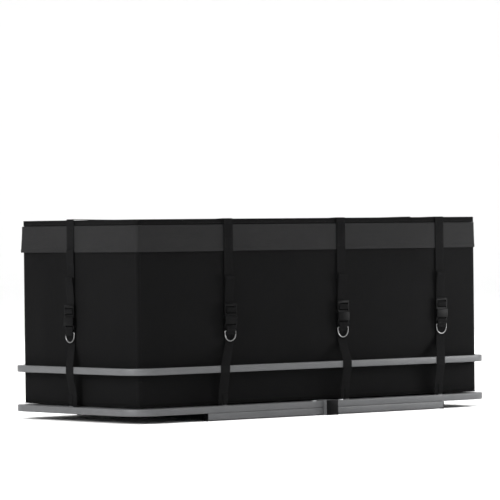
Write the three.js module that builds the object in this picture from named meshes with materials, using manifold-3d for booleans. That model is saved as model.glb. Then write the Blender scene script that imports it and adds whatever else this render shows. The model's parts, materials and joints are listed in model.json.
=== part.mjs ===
// Hitch cargo carrier: a steel basket tray on a receiver shank, with a fitted cargo bag strapped into it.
// Millimetres, +Z up. +X runs along the tray, +Y points to the vehicle, so the buckles are on the -Y side.
// The origin is at the middle of the underside.
import * as THREE from 'three';
import { mergeVertices } from 'three/addons/utils/BufferGeometryUtils.js';
import Module from 'manifold-3d';

const wasm = await Module();
wasm.setup();

// ---------------------------------------------------------------- driving dimensions
const fitGap = 0.3; // between pieces that touch
const overshoot = 1; // cutters run past the faces that they cut

// bag
const bagLength = 1500;
const bagWidth = 610;
const bagHeight = 607;
const bagCornerRadius = 8;
const bagWall = 4;
const lidBandHeight = 18; // plain band between the lid's top and the flap
const lidThickness = 5;
const flapDrop = 106; // from the lid's top to the flap's foot
const flapThickness = 1.6;
const neckInset = 9; // step in the wall behind the flap, which holds the zipper
const neckWall = 3;
const neckDepth = 24; // from the shoulder to the flap's top
const zipperDrop = 8; // from the band's foot to where the zipper's halves meet
const zipperSide = 7; // height of one half of the zipper
const zipperThickness = 3.2;
const sliderLength = 20;
const sliderHeight = 13;
const sliderThickness = 3.7;
const pullLength = 24;
const pullHeight = 6;
const pullThickness = 1.8;
const sliderFromEnd = 60; // closed position, from the bag's right end

// tray
const railSize = 22; // square tube
const tubeWall = 1.8;
const railGap = 20; // from the bag to the rails
const railCornerRadius = 90; // outside
const trayHeight = 153; // underside of the bottom rail to the top of the guard rail
const postWidth = 16;
const postThickness = 6;
const postInset = 1; // from the rail's inner face
const spliceLength = 120;
const floorThickness = 3;
const floorRibHeight = 18;
const floorRibThickness = 4;
const floorBar = 14; // bars of the grille
const floorCellsX = 7;
const floorCellsY = 5;

// shank and crossbars
const shankSize = 50;
const shankWall = 3;
const shankBehind = 18; // past the rear rail
const shankAhead = 290; // past the front rail
const hitchOffset = 30; // shank and tray joint, right of the middle
const crossbarLength = 1050;
const capThickness = 2.5;
const plugDepth = 15;
const plugClearance = 0.3;
const shankCapThickness = 3;
const pinFromEnd = 65;
const pinDiameter = 15.9;
const pinClearance = 0.35;
const pinHeadDiameter = 26;
const pinHeadLength = 8;
const pinPastShank = 22;
const pinHeadGap = 3; // from the shank to the head
const clipWire = 3.2;
const clipFromEnd = 9;
const clipLoop = 12;
const clipFoot = 6; // straight leg below the pin
const clipNeck = 8; // straight leg above the pin
const clipCrown = 18; // top of the loop above the pin
const clipBulge = 10; // how far the loop stands past the pin's side
const boltDiameter = 8;
const boltHeadDiameter = 20;
const boltHeadHeight = 2.2;
const boltNutWidth = 15;
const boltNutHeight = 2.7;
const boltFromShank = 60; // from the shank's middle

// straps: where each one runs, from the bag's middle, and how far its tray post stands beside it
const webWidth = 38;
const webThickness = 1.6;
const rearStraps = { left: -370, middle: 125, right: 580 };
const endStrap = 41;
const rearPostShift = 9; // across the strap, from its middle
const endPostShift = 14;
// how far each buckled strap runs sideways between its ring and the guard rail
const sideways = { rear_left: -51, rear_middle: -12, rear_right: -36, left_end: 40, right_end: -40 };
const pivotDrop = 2.5; // strap pivot under the flap's foot
const endLap = 12; // the end straps reach this far above their pivot
const endStepTop = 30; // and step in to the flap's plane between these levels below it
const endStepFoot = 40;
const carSideDrop = 5; // from the zipper's level to the top of the car-side webbing
const collarHeight = 30;
const collarRise = 8; // from the bottom rail to the collar
const collarClearance = 0.6;

// buckle, from the bag's underside upwards
const slotSide = 1; // from the webbing's edge to the slot's end
const buckleSide = 5; // from the slot's end to the buckle's edge
const slotHeight = 7;
const maleTop = 330;
const maleBottom = 290;
const upperSlot = 317;
const lowerSlot = 300;
const maleThickness = 6;
const prongLength = 26;
const prongInset = 6; // from the buckle's edge
const prongWidth = 7;
const prongTaper = 3;
const barbInset = 2.5; // from the buckle's edge
const barbShoulder = 16; // levels of the barb above the prong's tip
const barbPeak = 12;
const barbEnd = 5;
const guideHalf = 3;
const guideShort = 4; // the guide ends this far before the prongs
const barDepth = 0.6; // from the tail to the buckle's plate
const femaleBottom = 250;
const femaleBarHeight = 12;
const femaleThickness = 12;
const femaleWindowTop = 280;
const femaleSlot = 259;
const femaleSlotHeight = 6;
const pocketSide = 1.6; // from the prongs to the housing's inner side
const pocketDepth = 0.5; // in front of and behind the prongs
const pocketFloor = 1.5;
const tailFlatTop = 345; // above this the tail stands away from the strap
const tailBowLevel = 385;
const tailBow = 2.5;
const tailPeakLevel = 405;
const tailPeak = 5.5;
const tailEnd = 420;
const tailEndDepth = 4.5;
const tabEnd = 228;
const ringBar = 241;
const ringWire = 4.5;
const ringOverWeb = 3.3; // from the webbing's edge to the wire's middle
const ringSide = 12;
const ringBend = 3;
const ringEndGap = 0.4;
const straightFrom = 198; // below this the anchor webbing leans out to the guard rail
const railOverrun = 2; // the webbing stays upright this far below the guard rail
const leanIn = 66; // and is back at the tray post this far below it
const webFoot = 3; // from the bottom rail to the webbing's end

// ---------------------------------------------------------------- levels and places worked out from them
const crossbarBottom = shankWall + fitGap;
const railBottom = crossbarBottom + railSize + fitGap;
const railTop = railBottom + railSize;
const guardTop = railBottom + trayHeight;
const guardBottom = guardTop - railSize;
const bagBottom = fitGap + Math.max(shankSize + fitGap, railTop + boltHeadHeight + fitGap);
const bagTop = bagBottom + bagHeight;
const bandFoot = bagTop - lidBandHeight;
const flapFoot = bagTop - flapDrop;
const shoulder = bandFoot - neckDepth;
const zipperLevel = bandFoot - zipperDrop; // where the two halves of the zipper meet
const halfLength = bagLength / 2;
const halfWidth = bagWidth / 2;
const trayHalfLength = halfLength + railGap + railSize;
const trayHalfWidth = halfWidth + railGap + railSize;
const shankRear = -trayHalfWidth - shankBehind;
const shankFront = trayHalfWidth + shankAhead;
const pinPlace = shankFront - pinFromEnd;
const pivotLevel = flapFoot - pivotDrop;
const slotWidth = webWidth + 2 * slotSide;
const buckleHalf = slotWidth / 2 + buckleSide;
const prongOuter = buckleHalf - prongInset;
const ringHalfWidth = webWidth / 2 + ringOverWeb;
// depths out from the bag's face
const flapOut = 0.4;
const flapFace = flapOut + flapThickness;
const webGap = 0.5;
const layerGap = 0.4;
const layer = webThickness + layerGap; // one webbing on another
const strapOnFlap = flapFace + layerGap + webThickness / 2;
const strapOnBack = 2 * webGap + webThickness / 2;
const tailDepth = strapOnFlap + layer;
const malePlate = tailDepth + webThickness / 2 + barDepth; // back of the male buckle's plate
const maleFront = malePlate + maleThickness;
const strapOverBar = maleFront + layerGap + webThickness / 2;
const femaleBack = strapOnFlap + webThickness / 2 + layerGap;
const femaleBarFront = maleFront - 1;
const tabDepth = femaleBarFront + layerGap + webThickness / 2;
const ringDepth = (strapOnFlap + tabDepth) / 2;
const strapOnRail = railGap + railSize + webGap + webThickness / 2;
const postFront = railGap + postInset + postThickness;
const strapOnPost = postFront + webGap + webThickness / 2;

// ---------------------------------------------------------------- materials
const finish = (color, roughness, metalness) => (
  new THREE.MeshStandardMaterial({ color, roughness, metalness }));
const steelPaint = finish(0x73767a, 0.45, 0.3);
const zinc = finish(0xb4b6b8, 0.35, 0.9);
const blackPlastic = finish(0x151516, 0.5, 0);
const bagFabric = finish(0x1b1b1c, 0.75, 0);
const flapFabric = finish(0x2a2a2b, 0.7, 0);
const webbing = finish(0x18181a, 0.85, 0);
const ringSteel = finish(0x8d8f92, 0.3, 1);

// ---------------------------------------------------------------- helpers
const carrier = new THREE.Group();

function addPiece(name, geometry, material, parent = carrier) {
  const mesh = new THREE.Mesh(geometry, material);
  mesh.name = name;
  parent.add(mesh);
  return mesh;
}

function toSolid(geometry) {
  const plain = geometry.clone();
  plain.deleteAttribute('normal');
  plain.deleteAttribute('uv');
  const merged = mergeVertices(plain, 1e-4);
  const vertProperties = new Float32Array(merged.attributes.position.array);
  const triVerts = new Uint32Array(merged.index.array);
  return new wasm.Manifold(new wasm.Mesh({ numProp: 3, vertProperties, triVerts }));
}

function toGeometry(solid) {
  const mesh = solid.getMesh();
  const geometry = new THREE.BufferGeometry();
  geometry.setAttribute('position', new THREE.BufferAttribute(new Float32Array(mesh.vertProperties), 3));
  geometry.setIndex(new THREE.BufferAttribute(new Uint32Array(mesh.triVerts), 1));
  geometry.computeVertexNormals();
  return geometry;
}

// joins the first list of geometries and cuts the second list out of them
function carve(joined, cuts = []) {
  let solid = toSolid(joined[0]);
  for (const geometry of joined.slice(1)) solid = solid.add(toSolid(geometry));
  for (const geometry of cuts) solid = solid.subtract(toSolid(geometry));
  return toGeometry(solid);
}

function block(x0, x1, y0, y1, z0, z1) {
  const box = new THREE.BoxGeometry(x1 - x0, y1 - y0, z1 - z0);
  return box.translate((x0 + x1) / 2, (y0 + y1) / 2, (z0 + z1) / 2);
}

function slab(shape, z0, z1, steps = 1) {
  const options = { depth: z1 - z0, bevelEnabled: false, curveSegments: 3, steps };
  return new THREE.ExtrudeGeometry(shape, options).translate(0, 0, z0);
}

function roundedRect(halfX, halfY, radius) {
  const shape = new THREE.Shape();
  shape.moveTo(-halfX + radius, -halfY);
  shape.lineTo(halfX - radius, -halfY);
  shape.absarc(halfX - radius, -halfY + radius, radius, -Math.PI / 2, 0);
  shape.absarc(halfX - radius, halfY - radius, radius, 0, Math.PI / 2);
  shape.absarc(-halfX + radius, halfY - radius, radius, Math.PI / 2, Math.PI);
  shape.absarc(-halfX + radius, -halfY + radius, radius, Math.PI, 1.5 * Math.PI);
  return shape;
}

// plan of one tray half: from the seam at x0 out to the right end and back
function halfLoop(x0, halfX, halfY, radius, thickness) {
  const shape = new THREE.Shape();
  const inner = radius - thickness;
  const cornerX = halfX - radius;
  const cornerY = halfY - radius;
  shape.moveTo(x0, -halfY);
  shape.lineTo(cornerX, -halfY);
  shape.absarc(cornerX, -cornerY, radius, -Math.PI / 2, 0);
  shape.absarc(cornerX, cornerY, radius, 0, Math.PI / 2);
  shape.lineTo(x0, halfY);
  shape.lineTo(x0, halfY - thickness);
  shape.lineTo(cornerX, halfY - thickness);
  shape.absarc(cornerX, cornerY, inner, Math.PI / 2, 0, true);
  shape.absarc(cornerX, -cornerY, inner, 0, -Math.PI / 2, true);
  shape.lineTo(x0, -halfY + thickness);
  return shape;
}

// plan of a band round the rear and both ends of the bag, open at the hinge side
function openBand(halfX, halfY, radius, thickness, backY) {
  const shape = new THREE.Shape();
  const inner = radius - thickness;
  const cornerX = halfX - radius;
  const cornerY = -halfY + radius;
  shape.moveTo(-halfX, backY);
  shape.lineTo(-halfX, cornerY);
  shape.absarc(-cornerX, cornerY, radius, Math.PI, 1.5 * Math.PI);
  shape.absarc(cornerX, cornerY, radius, -Math.PI / 2, 0);
  shape.lineTo(halfX, backY);
  shape.lineTo(halfX - thickness, backY);
  shape.absarc(cornerX, cornerY, inner, 0, -Math.PI / 2, true);
  shape.absarc(-cornerX, cornerY, inner, 1.5 * Math.PI, Math.PI, true);
  shape.lineTo(-halfX + thickness, backY);
  return shape;
}

// a strip of webbing that follows points [depth, level] across a face: local -Y is out of the face
function ribbon(points, width = webWidth, thickness = webThickness) {
  const path = points.map(([depth, level]) => new THREE.Vector2(depth, level));
  const normals = path.slice(1).map((point, i) => {
    const along = point.clone().sub(path[i]).normalize();
    return new THREE.Vector2(-along.y, along.x);
  });
  const offsets = path.map((point, i) => {
    const before = normals[Math.max(i - 1, 0)];
    const after = normals[Math.min(i, normals.length - 1)];
    const miter = before.clone().add(after).normalize();
    return miter.multiplyScalar(thickness / 2 / miter.dot(after));
  });
  const left = path.map((point, i) => point.clone().add(offsets[i]));
  const right = path.map((point, i) => point.clone().sub(offsets[i])).reverse();
  const outline = new THREE.Shape([...left, ...right]);
  const geometry = new THREE.ExtrudeGeometry(outline, { depth: width, bevelEnabled: false });
  geometry.translate(0, 0, -width / 2);
  return geometry.applyMatrix4(faceBasis());
}

// shape x to outward, shape y to up, extrusion across the face
function faceBasis() {
  const outward = new THREE.Vector3(0, -1, 0);
  const up = new THREE.Vector3(0, 0, 1);
  return new THREE.Matrix4().makeBasis(outward, up, outward.clone().cross(up));
}

// a flat piece drawn in (across, level) and given a thickness outwards, from depth0 to depth1
function facePlate(shape, depth0, depth1) {
  const options = { depth: depth1 - depth0, bevelEnabled: false, curveSegments: 3 };
  const geometry = new THREE.ExtrudeGeometry(shape, options);
  return geometry.rotateX(Math.PI / 2).translate(0, -depth0, 0);
}

function faceBlock(x0, x1, depth0, depth1, z0, z1) {
  return block(x0, x1, -depth1, -depth0, z0, z1);
}

// a group that stands on one face of the bag, with local -Y out of the face
const faces = {
  rear: { turn: 0, place: (along) => [along, -halfWidth] },
  front: { turn: Math.PI, place: (along) => [along, halfWidth] },
  left: { turn: -Math.PI / 2, place: (along) => [-halfLength, along] },
  right: { turn: Math.PI / 2, place: (along) => [halfLength, along] },
};

function faceGroup(face, along) {
  const group = new THREE.Group();
  const [x, y] = faces[face].place(along);
  group.position.set(x, y, 0);
  group.rotation.z = faces[face].turn;
  group.updateMatrix();
  carrier.add(group);
  return group;
}

const stations = [
  ...Object.entries(rearStraps).map(([side, along]) => (
    { name: `rear_${side}`, face: 'rear', along, postShift: rearPostShift })),
  { name: 'left_end', face: 'left', along: endStrap, postShift: -endPostShift },
  { name: 'right_end', face: 'right', along: endStrap, postShift: endPostShift },
].map((station) => ({ ...station, lean: sideways[station.name] }));
const carSideStations = Object.entries(rearStraps).map(([side, along]) => (
  { name: `car_side_${side}`, face: 'front', along, postShift: rearPostShift, lean: 0 }));

// ---------------------------------------------------------------- shank, crossbars and hitch pin
const crossbarPlaces = { rear: -trayHalfWidth + railSize / 2, front: trayHalfWidth - railSize / 2 };
const seamGap = shankSize / 2 + fitGap;
const boltPlaces = { left: hitchOffset - boltFromShank, right: hitchOffset + boltFromShank };

function rod(diameter, length, sides) {
  return new THREE.CylinderGeometry(diameter / 2, diameter / 2, length, sides);
}

function boltHole(x, y, z0, z1) {
  return rod(boltDiameter + 2 * fitGap, z1 - z0, 12).rotateX(Math.PI / 2).translate(x, y, (z0 + z1) / 2);
}

function addShank() {
  const half = shankSize / 2;
  const rear = shankRear + shankCapThickness;
  const middle = hitchOffset;
  const tube = block(middle - half, middle + half, rear, shankFront, 0, shankSize);
  const inside = half - shankWall;
  const bore = block(middle - inside, middle + inside, rear - overshoot, shankFront + overshoot,
    shankWall, shankSize - shankWall);
  const windowHalf = railSize / 2 + fitGap;
  const windows = Object.values(crossbarPlaces).map((y) => block(
    middle - half - overshoot, middle + half + overshoot, y - windowHalf, y + windowHalf,
    crossbarBottom - fitGap, crossbarBottom + railSize + fitGap));
  const pinHole = rod(pinDiameter + 2 * pinClearance, shankSize + 2 * overshoot, 20).rotateZ(Math.PI / 2);
  pinHole.translate(middle, pinPlace, half);
  addPiece('shank', carve([tube], [bore, ...windows, pinHole]), steelPaint);

  const plug = inside - plugClearance;
  const lid = block(middle - half, middle + half, shankRear, rear - fitGap, 0, shankSize);
  const stub = block(middle - plug, middle + plug, rear - fitGap - overshoot, rear + plugDepth,
    half - plug, half + plug);
  addPiece('shank_end_cap', carve([lid, stub]), blackPlastic);
}

function addCrossbar(side) {
  const y = crossbarPlaces[side];
  const half = railSize / 2;
  const left = hitchOffset - crossbarLength / 2;
  const right = hitchOffset + crossbarLength / 2;
  const inside = half - tubeWall;
  const middleLevel = crossbarBottom + half;
  const tube = block(left, right, y - half, y + half, crossbarBottom, crossbarBottom + railSize);
  const bore = block(left - overshoot, right + overshoot, y - inside, y + inside,
    middleLevel - inside, middleLevel + inside);
  const holes = Object.values(boltPlaces).map((x) => boltHole(x, y, 0, railTop));
  addPiece(`${side}_crossbar`, carve([tube], [bore, ...holes]), steelPaint);

  // each end cap has a foot that reaches down to the level of the shank
  const plug = inside - plugClearance;
  for (const [end, edge, outward] of [['left', left, -1], ['right', right, 1]]) {
    const inner = edge + outward * fitGap;
    const outer = inner + outward * capThickness;
    const back = edge - outward * plugDepth;
    const [x0, x1] = [Math.min(inner, outer), Math.max(inner, outer)];
    const lip = block(x0, x1, y - half, y + half, 0, crossbarBottom + railSize);
    const [p0, p1] = [Math.min(back, inner + outward), Math.max(back, inner + outward)];
    const stub = block(p0, p1, y - plug, y + plug, middleLevel - plug, middleLevel + plug);
    addPiece(`${side}_crossbar_cap_${end}`, carve([lip, stub]), blackPlastic);
  }
}

function addRailBolts() {
  for (const [side, y] of Object.entries(crossbarPlaces)) {
    for (const [half, x] of Object.entries(boltPlaces)) {
      const head = rod(boltHeadDiameter, boltHeadHeight, 16).rotateX(Math.PI / 2);
      head.translate(x, y, railTop + fitGap + boltHeadHeight / 2);
      const nut = rod(boltNutWidth, boltNutHeight, 6).rotateX(Math.PI / 2);
      nut.translate(x, y, fitGap + boltNutHeight / 2);
      const shaftLength = railTop + boltHeadHeight / 2;
      const shaft = rod(boltDiameter, shaftLength, 12).rotateX(Math.PI / 2);
      shaft.translate(x, y, fitGap + shaftLength / 2);
      addPiece(`${side}_${half}_rail_bolt`, carve([shaft, head, nut]), zinc);
    }
  }
}

function addHitchPin() {
  const half = shankSize / 2;
  const level = half;
  const clipX = hitchOffset - half - pinPastShank + clipFromEnd;
  const left = hitchOffset - half - pinPastShank;
  const right = hitchOffset + half + pinHeadGap;
  const shaft = rod(pinDiameter, right - left, 20).rotateZ(Math.PI / 2);
  shaft.translate((left + right) / 2, pinPlace, level);
  const head = rod(pinHeadDiameter, pinHeadLength, 20).rotateZ(Math.PI / 2);
  head.translate(right + pinHeadLength / 2 - overshoot, pinPlace, level);
  const clipHole = rod(clipWire + 2 * fitGap, 2 * pinDiameter, 10).rotateX(Math.PI / 2);
  clipHole.translate(clipX, pinPlace, level);
  addPiece('hitch_pin', carve([shaft, head], [clipHole]), zinc);

  // the clip's straight leg stands in the pin, its sprung leg lies against the pin's far side
  const reach = pinDiameter / 2;
  const side = reach + clipWire / 2 + fitGap;
  const leg = [[0, -reach - clipFoot], [0, -reach], [0, 0], [0, reach], [0, reach + clipNeck]];
  const loop = [
    [clipLoop / 4, reach + 0.83 * clipCrown], [clipLoop, reach + clipCrown],
    [side + clipBulge, reach + 0.67 * clipCrown], [side + 0.4 * clipBulge, reach + 0.28 * clipCrown],
  ];
  const spring = [[side, 0], [side + 0.2 * clipBulge, -reach]];
  const points = [...leg, ...loop, ...spring];
  const extrudePath = new THREE.CatmullRomCurve3(
    points.map(([y, z]) => new THREE.Vector3(clipX, pinPlace + y, level + z)));
  const section = new THREE.Shape().absarc(0, 0, clipWire / 2, 0, 2 * Math.PI);
  const options = { steps: 30, extrudePath, curveSegments: 4, bevelEnabled: false };
  const clip = new THREE.ExtrudeGeometry(section, options);
  addPiece('pin_clip', clip, zinc);
}

// ---------------------------------------------------------------- tray halves
const trayHalves = {
  left: { mirror: true, seam: -hitchOffset },
  right: { mirror: false, seam: hitchOffset },
};

// a shape drawn for the right half, turned over for the left one
function mirrored(geometry, mirror) {
  if (!mirror) return geometry;
  const flipped = geometry.index ? geometry.toNonIndexed() : geometry.clone();
  flipped.scale(-1, 1, 1);
  const position = flipped.attributes.position;
  const corner = new THREE.Vector3();
  const other = new THREE.Vector3();
  for (let i = 0; i < position.count; i += 3) {
    corner.fromBufferAttribute(position, i + 1);
    other.fromBufferAttribute(position, i + 2);
    position.setXYZ(i + 1, other.x, other.y, other.z);
    position.setXYZ(i + 2, corner.x, corner.y, corner.z);
  }
  return flipped;
}

function loopTube(seam, z0, mirror) {
  const plan = halfLoop(seam, trayHalfLength, trayHalfWidth, railCornerRadius, railSize);
  const outer = slab(plan, z0, z0 + railSize);
  const bore = slab(
    halfLoop(seam - overshoot, trayHalfLength - tubeWall, trayHalfWidth - tubeWall,
      railCornerRadius - tubeWall, railSize - 2 * tubeWall),
    z0 + tubeWall, z0 + railSize - tubeWall);
  return [mirrored(outer, mirror), mirrored(bore, mirror)];
}

// upright bars between the rails, each beside the strap that is tied to it
function postBlocks(side) {
  const posts = [];
  for (const station of [...stations, ...carSideStations]) {
    const group = faceGroup(station.face, station.along);
    const middle = station.postShift + station.lean;
    const post = faceBlock(middle - postWidth / 2, middle + postWidth / 2,
      railGap + postInset, postFront, railTop + fitGap, guardBottom + tubeWall / 2);
    post.applyMatrix4(group.matrix);
    carrier.remove(group);
    post.computeBoundingBox();
    const onLeft = post.boundingBox.max.x < hitchOffset;
    if (onLeft === (side === 'left')) posts.push(post);
  }
  return posts;
}

function addTrayHalf(side) {
  const { mirror, seam } = trayHalves[side];
  const [bottomTube, bottomBore] = loopTube(seam + seamGap, railBottom, mirror);
  const ribs = floorRibs(seam + seamGap, mirror);
  const holeTop = railTop + overshoot;
  const holes = Object.values(crossbarPlaces).map((y) => boltHole(boltPlaces[side], y, 0, holeTop));
  addPiece(`${side}_bottom_rail`, carve([bottomTube, ...ribs], [bottomBore, ...holes]), steelPaint);

  const [guardTube, guardBore] = loopTube(seam + fitGap / 2, guardBottom, mirror);
  const hollow = toSolid(guardTube).subtract(toSolid(guardBore));
  let guard = hollow;
  for (const post of postBlocks(side)) guard = guard.add(toSolid(post).subtract(toSolid(guardBore)));
  addPiece(`${side}_guard_rail`, toGeometry(guard), steelPaint);

  addPiece(`${side}_floor`, floorGrille(seam + seamGap, mirror), steelPaint);
}

// where the grille's columns of cells start, from the seam to the tray's end
function floorColumns(seam) {
  const halfX = trayHalfLength - railSize - fitGap;
  const radius = railCornerRadius - railSize - fitGap;
  const pitch = (halfX - radius / 2 - seam - floorBar) / floorCellsX;
  return { halfX, radius, pitch, start: (i) => seam + floorBar + i * pitch };
}

// flat bars on edge under the floor, welded into the bottom rail
function floorRibs(seam, mirror) {
  const { start } = floorColumns(seam);
  const halfY = trayHalfWidth - railSize + tubeWall / 2;
  const top = railTop - floorThickness - fitGap;
  return [1, Math.ceil(floorCellsX / 2), floorCellsX - 1].map((i) => {
    const x = start(i) - floorBar / 2;
    const rib = block(x - floorRibThickness / 2, x + floorRibThickness / 2, -halfY, halfY,
      top - floorRibHeight, top);
    return mirrored(rib, mirror);
  });
}

function floorGrille(seam, mirror) {
  const { halfX, radius, pitch, start } = floorColumns(seam);
  const halfY = trayHalfWidth - railSize - fitGap;
  const plan = new THREE.Shape();
  plan.moveTo(seam, -halfY);
  plan.lineTo(halfX - radius, -halfY);
  plan.absarc(halfX - radius, -halfY + radius, radius, -Math.PI / 2, 0);
  plan.absarc(halfX - radius, halfY - radius, radius, 0, Math.PI / 2);
  plan.lineTo(seam, halfY);
  const border = radius / 2;
  const pitchY = (2 * (halfY - border)) / floorCellsY;
  const cells = [];
  for (let i = 0; i < floorCellsX; i += 1) {
    for (let j = 0; j < floorCellsY; j += 1) {
      const x = start(i);
      const y = -halfY + border + j * pitchY;
      cells.push(block(x, x + pitch - floorBar, y, y + pitchY - floorBar, railBottom, railTop + overshoot));
    }
  }
  const plate = slab(plan, railTop - floorThickness, railTop);
  const grille = cells.reduce((solid, cell) => solid.subtract(toSolid(cell)), toSolid(plate));
  return mirrored(toGeometry(grille), mirror);
}

function addSplice(side) {
  const y = crossbarPlaces[side];
  const half = railSize / 2 - tubeWall - plugClearance;
  const level = guardBottom + railSize / 2;
  const inner = half - tubeWall;
  const sleeve = block(hitchOffset - spliceLength / 2, hitchOffset + spliceLength / 2,
    y - half, y + half, level - half, level + half);
  const bore = block(hitchOffset - spliceLength, hitchOffset + spliceLength,
    y - inner, y + inner, level - inner, level + inner);
  addPiece(`${side}_splice`, carve([sleeve], [bore]), steelPaint);
}

// ---------------------------------------------------------------- bag
function bagBlock(inset, z0, z1) {
  const radius = Math.max(bagCornerRadius - inset, 1);
  return slab(roundedRect(halfLength - inset, halfWidth - inset, radius), z0, z1);
}

function addBagBody() {
  const neckTop = zipperLevel - fitGap;
  const outside = [bagBlock(0, bagBottom, shoulder), bagBlock(neckInset, shoulder - overshoot, neckTop)];
  const inside = [
    bagBlock(bagWall, bagBottom + bagWall, shoulder - bagWall),
    bagBlock(neckInset + neckWall, shoulder - bagWall - overshoot, neckTop + overshoot),
  ];
  addPiece('bag_body', carve(outside, inside), bagFabric);
}

function addLid() {
  const outside = bagBlock(0, bandFoot, bagTop);
  const inside = bagBlock(bagWall, bandFoot - overshoot, bagTop - lidThickness);
  const ring = bagBlock(neckInset, zipperLevel + fitGap, bagTop - lidThickness / 2);
  const ringBore = bagBlock(neckInset + neckWall, zipperLevel - overshoot, bagTop - lidThickness);
  const shell = toSolid(outside).subtract(toSolid(inside));
  const neck = toSolid(ring).subtract(toSolid(ringBore));
  addPiece('lid_panel', toGeometry(shell.add(neck)), bagFabric);
}

function addRainFlap() {
  const halfX = halfLength + flapFace;
  const halfY = halfWidth + flapFace;
  const radius = bagCornerRadius + flapFace;
  const band = openBand(halfX, halfY, radius, flapThickness, halfWidth);
  addPiece('rain_flap', slab(band, flapFoot, bandFoot - fitGap), flapFabric);
}

function addZipper() {
  const inset = neckInset - fitGap - zipperThickness;
  const radius = zipperThickness + 2;
  const plan = () => openBand(halfLength - inset, halfWidth - inset, radius, zipperThickness,
    halfWidth - bagWall);
  const bodySide = slab(plan(), zipperLevel - fitGap - zipperSide, zipperLevel - fitGap);
  addPiece('body_zipper', bodySide, blackPlastic);
  addPiece('lid_zipper', slab(plan(), zipperLevel + fitGap, zipperLevel + fitGap + zipperSide), blackPlastic);

  const outer = inset - fitGap;
  const x = halfLength - sliderFromEnd;
  const y = -halfWidth + outer;
  const face = y - sliderThickness;
  const body = block(x - sliderLength / 2, x + sliderLength / 2, face, y,
    zipperLevel - sliderHeight / 2, zipperLevel + sliderHeight / 2);
  const pull = block(x - sliderLength / 2 - pullLength, x, face, face + pullThickness,
    zipperLevel - pullHeight / 2, zipperLevel + pullHeight / 2);
  addPiece('zipper_slider', carve([body, pull]), zinc);
}

// ---------------------------------------------------------------- straps
// the stretch that leans out over the guard rail and back in to the tray post, with its tie round the post
function anchorRoute(start) {
  return [
    ...start,
    [start.at(-1)[0], bagBottom + straightFrom],
    [strapOnRail, guardTop],
    [strapOnRail, guardBottom - railOverrun],
    [strapOnPost, guardBottom - leanIn],
    [strapOnPost, railTop + webFoot],
  ];
}

// moves what is below the straight stretch across the face, all of it by the guard rail's top
function leanSideways(geometry, lean) {
  const top = bagBottom + straightFrom;
  const position = geometry.attributes.position;
  for (let i = 0; i < position.count; i += 1) {
    const share = Math.min(Math.max((top - position.getZ(i)) / (top - guardTop), 0), 1);
    position.setX(i, position.getX(i) + lean * share);
  }
  return geometry;
}

function anchorWebbing(route, { postShift, lean }) {
  const strip = leanSideways(ribbon(route), lean);
  const middle = postShift + lean;
  const hole = postWidth / 2 + collarClearance;
  const depth0 = railGap + postInset - collarClearance;
  const depth1 = postFront + collarClearance;
  const level = railTop + collarRise;
  const ring = faceBlock(middle - hole - webThickness, middle + hole + webThickness,
    depth0 - webThickness, strapOnPost + webThickness / 2, level, level + collarHeight);
  const bore = faceBlock(middle - hole, middle + hole, depth0, depth1 - webGap / 2,
    level - overshoot, level + collarHeight + overshoot);
  const collar = toSolid(ring).subtract(toSolid(bore));
  return toGeometry(toSolid(strip).add(collar));
}

function addLidWebbing() {
  const level = bagTop + webGap + webThickness / 2;
  const foot = pivotLevel + 2 * webThickness;
  for (const [side, along] of Object.entries(rearStraps)) {
    const route = [
      [strapOnFlap, foot],
      [strapOnFlap, level],
      [-bagWidth - strapOnBack, level],
      [-bagWidth - strapOnBack, bandFoot + layerGap],
    ];
    addPiece(`lid_webbing_${side}`, ribbon(route), webbing, faceGroup('rear', along));
  }
  const over = level + layer;
  const near = [[strapOnFlap, foot], [strapOnFlap, over]];
  const far = near.map(([depth, height]) => [-bagLength - depth, height]).reverse();
  addPiece('lid_cross_webbing', ribbon([...near, ...far]), webbing, faceGroup('left', endStrap));
}

function addCarSideWebbing() {
  for (const station of carSideStations) {
    const group = faceGroup(station.face, station.along);
    const route = anchorRoute([[strapOnBack, zipperLevel - carSideDrop]]);
    addPiece(`${station.name}_webbing`, anchorWebbing(route, station), webbing, group);
  }
}

// top gives the depth and level of the end under the flap
function hangingWebbing(top) {
  const bottom = bagBottom;
  return ribbon([
    ...top,
    [strapOnFlap, bottom + lowerSlot],
    [strapOverBar, bottom + lowerSlot],
    [strapOverBar, bottom + upperSlot],
    [tailDepth, bottom + upperSlot],
    [tailDepth, bottom + tailFlatTop],
    [tailDepth + tailBow, bottom + tailBowLevel],
    [tailDepth + tailPeak, bottom + tailPeakLevel],
    [tailDepth + tailEndDepth, bottom + tailEnd],
  ]);
}

function slotBlock(level) {
  const middle = bagBottom + level;
  return faceBlock(-slotWidth / 2, slotWidth / 2, malePlate - overshoot, maleFront + overshoot,
    middle - slotHeight / 2, middle + slotHeight / 2);
}

// ladder-lock plate with two sprung prongs and a guide between them
function maleBuckle() {
  const top = bagBottom + maleTop;
  const foot = bagBottom + maleBottom;
  const tip = foot - prongLength;
  const barb = buckleHalf - barbInset;
  const prong = [
    [buckleHalf, foot], [prongOuter, foot], [prongOuter, tip + barbShoulder], [barb, tip + barbPeak],
    [barb, tip + barbEnd], [prongOuter - prongTaper, tip], [prongOuter - prongWidth, tip],
    [prongOuter - prongWidth, foot],
  ];
  const guide = [[guideHalf, foot], [guideHalf, tip + guideShort]];
  const rightSide = [[buckleHalf, top], ...prong, ...guide];
  const leftSide = rightSide.map(([x, y]) => [-x, y]).reverse();
  const outline = new THREE.Shape([...rightSide, ...leftSide].map(([x, y]) => new THREE.Vector2(x, y)));
  return carve([facePlate(outline, malePlate, maleFront)], [slotBlock(upperSlot), slotBlock(lowerSlot)]);
}

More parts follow.
